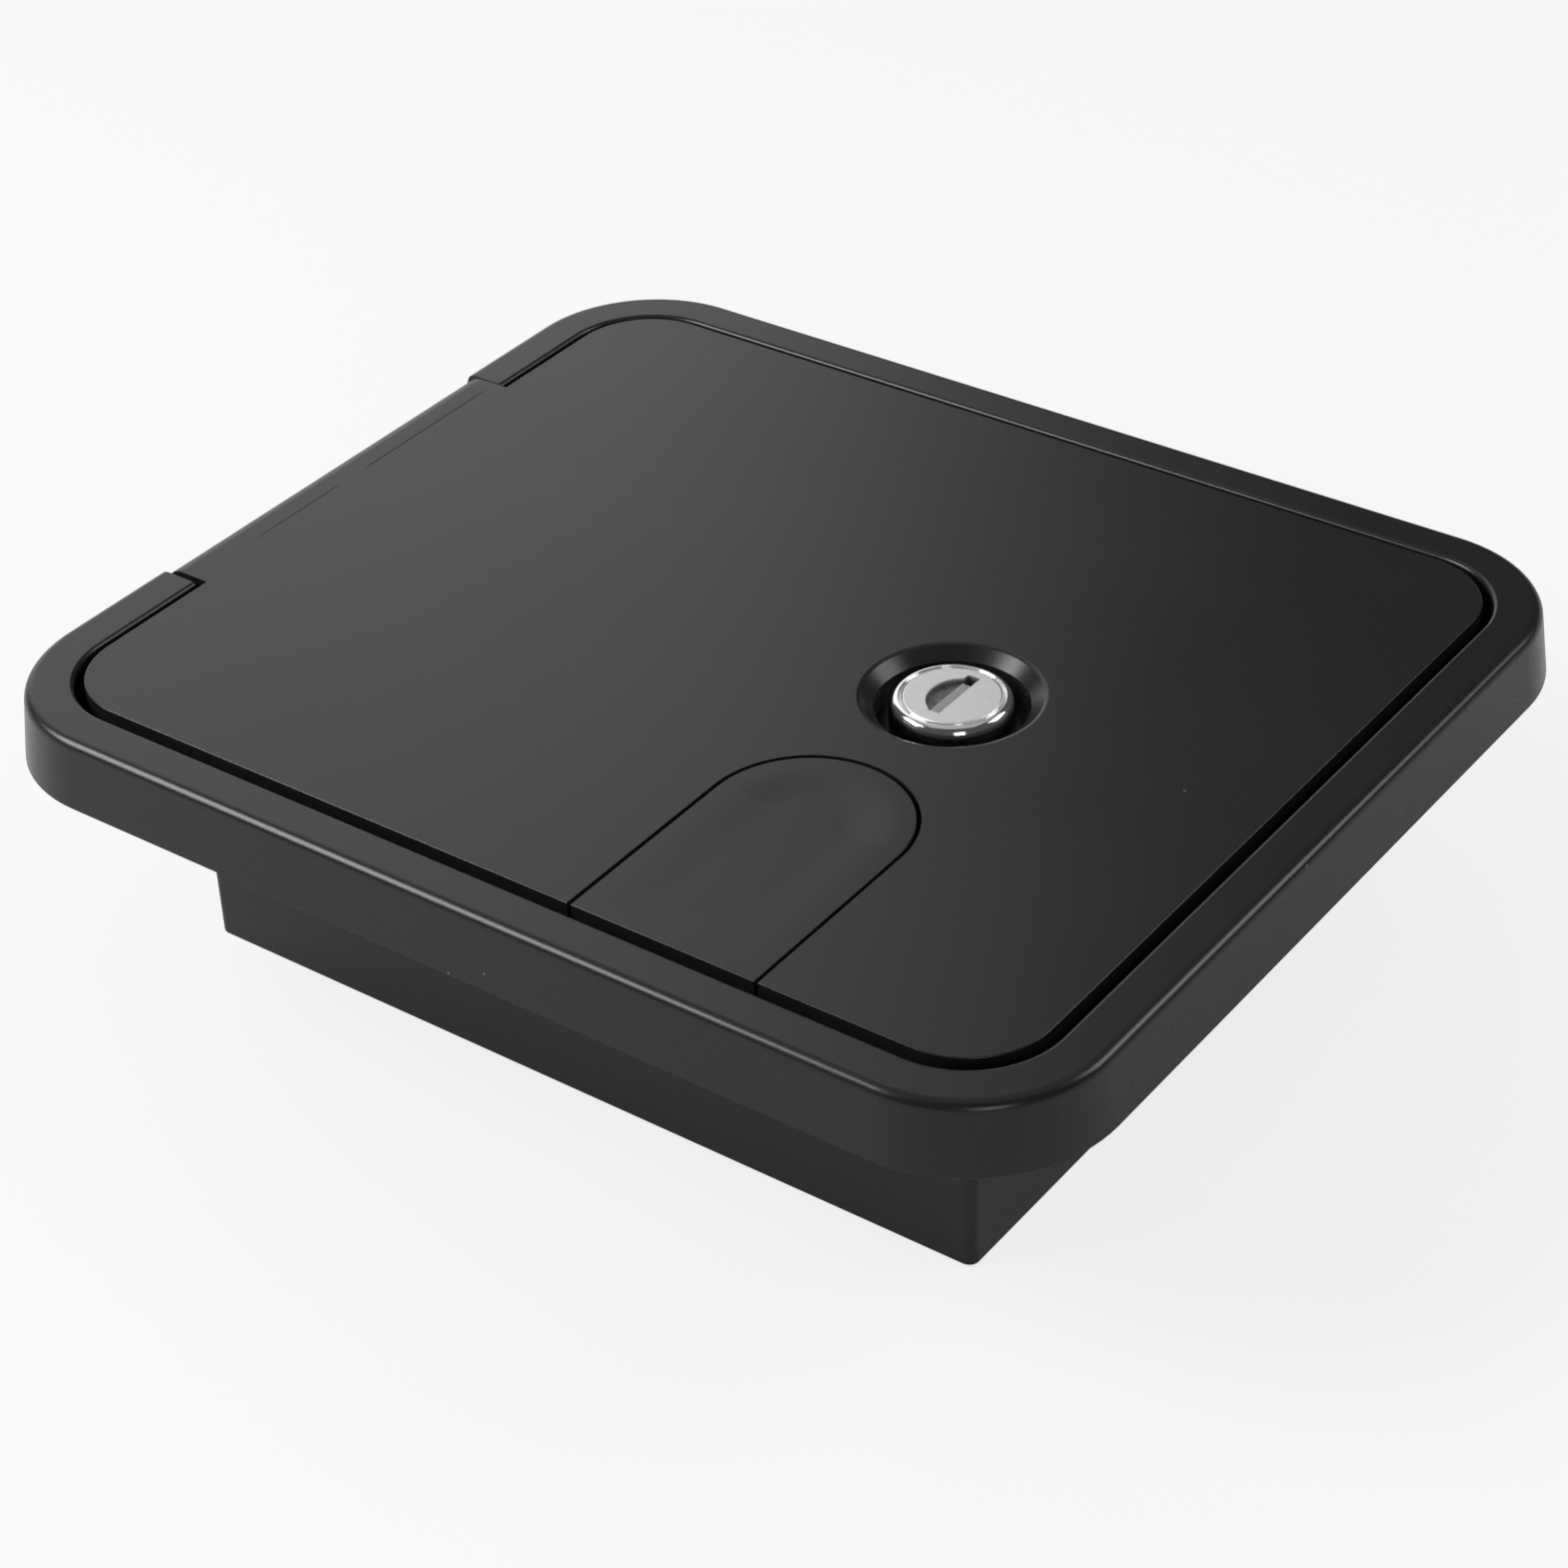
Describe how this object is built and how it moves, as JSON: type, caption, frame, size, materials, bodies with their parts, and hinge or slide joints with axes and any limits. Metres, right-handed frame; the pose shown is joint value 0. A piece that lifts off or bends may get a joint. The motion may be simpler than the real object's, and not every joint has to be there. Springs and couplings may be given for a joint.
{
  "type": "lockable access door",
  "caption": "Black moulded wall hatch: flanged frame with a sleeve through the wall, hinged door with a chromed key lock, and a tilting flap for a cord at its lower edge.",
  "frame": {"origin": "middle of the sleeve's rear edge, which the hatch stands on when it lies face up", "axes": "+X from the hinge towards the lock side, +Y away from the cord flap (up on the wall), +Z out of the wall"},
  "size_m": [0.2206, 0.1896, 0.0574],
  "materials": {
    "black_plastic": "fine satin moulding texture",
    "seal_rubber": "matte",
    "chrome": "polished",
    "satin_nickel": "satin plated",
    "steel": "zinc plated"
  },
  "bodies": {
    "frame": {"frame": "black_plastic", "weather_seal": "seal_rubber", "hinge_pin": "steel"},
    "door": {"door": "black_plastic", "lock_housing": "chrome", "lock_nut": "steel", "flap_pin": "steel"},
    "lock_core": {"lock_plug": "satin_nickel", "key_shutter": "steel", "lock_cam": "steel", "cam_washer": "steel", "cam_screw": "steel"},
    "cord_flap": {"cord_flap": "black_plastic"}
  },
  "joints": [
    {"name": "door_hinge", "type": "hinge", "parent": "frame", "child": "door", "pos_m": [-0.1043, 0, 0.0534], "axis": [0, -1, 0], "range_deg": [0, 170]},
    {"name": "lock_turn", "type": "hinge", "parent": "door", "child": "lock_core", "pos_m": [0.035, 0, 0.0314], "axis": [0, 0, -1], "range_deg": [0, 90]},
    {"name": "flap_tilt", "type": "hinge", "parent": "door", "child": "cord_flap", "pos_m": [0.0358, -0.0438, 0.0546], "axis": [-1, 0, 0], "range_deg": [0, 80]}
  ]
}
